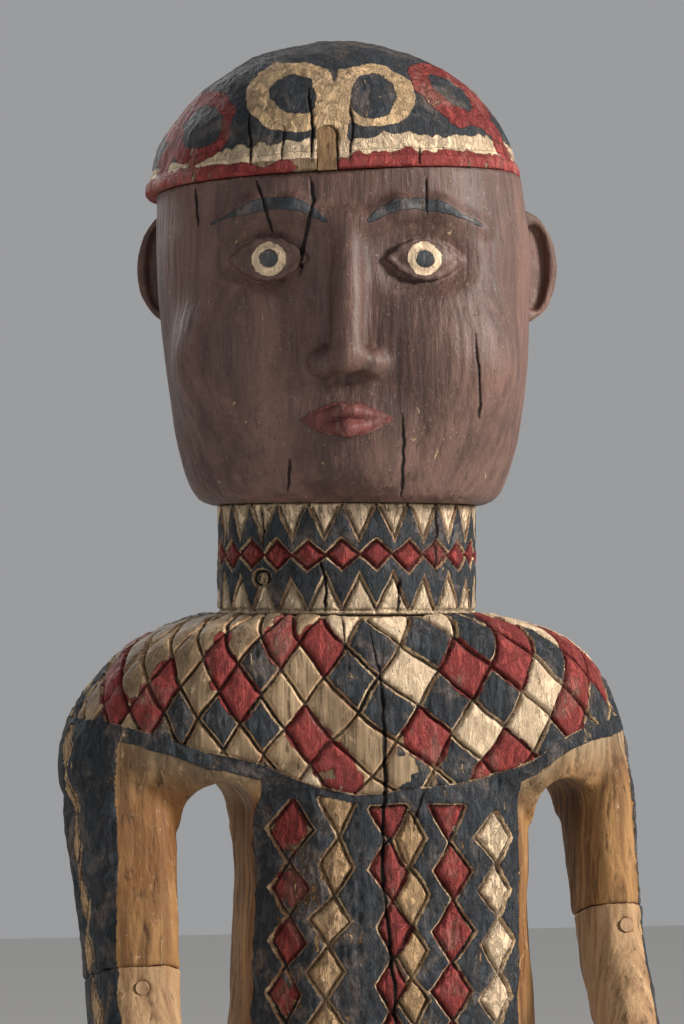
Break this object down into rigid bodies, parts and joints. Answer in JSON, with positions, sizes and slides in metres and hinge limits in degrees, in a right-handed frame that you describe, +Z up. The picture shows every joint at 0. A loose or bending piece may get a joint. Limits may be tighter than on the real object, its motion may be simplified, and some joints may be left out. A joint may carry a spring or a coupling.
{
  "type": "carved ancestor figure",
  "caption": "Standing carved wooden ancestor figure with a painted cap, a patterned neck drum and bib, bent forearms and a plinth; the head turns and lifts off its post.",
  "frame": {"origin": "middle of the plinth's flat underside, on the surface that the figure stands on and on the axis of the neck post", "axes": "+Z up the figure to the crown, the chest faces -Y, and +X is the figure's left side"},
  "size_m": [0.3485, 0.3267, 1.114],
  "materials": {
    "plinth_wood": "dark, dry, adzed",
    "bare_wood": "bare, tool marked",
    "peg_wood": "bare, dark",
    "pale_wood": "bare, pale",
    "painted_body": "matt earth paint, charcoal with red, cream and ochre",
    "face_paint": "matt purple-brown earth paint"
  },
  "bodies": {
    "figure": {"plinth": "plinth_wood", "foot_dowels": "peg_wood", "leg_left": "bare_wood", "leg_right": "bare_wood", "hip_pegs": "peg_wood", "torso": "painted_body", "neck_post": "peg_wood", "forearm_left": "bare_wood", "forearm_right": "bare_wood", "elbow_pegs": "peg_wood"},
    "neck": {"neck_drum": "painted_body", "head_key_pegs": "peg_wood"},
    "head": {"head": "face_paint", "ear_left": "face_paint", "ear_right": "face_paint", "skull_cap": "painted_body", "cap_pegs": "peg_wood", "cap_patch": "pale_wood"}
  },
  "joints": [
    {"name": "head_turn", "type": "hinge", "parent": "figure", "child": "neck", "pos_m": [0, 0, 0.77], "axis": [0, 0, 1], "continuous": true},
    {"name": "head_lift", "type": "slide", "parent": "neck", "child": "head", "axis": [0, 0, 1], "range_m": [0, 0.09]}
  ]
}
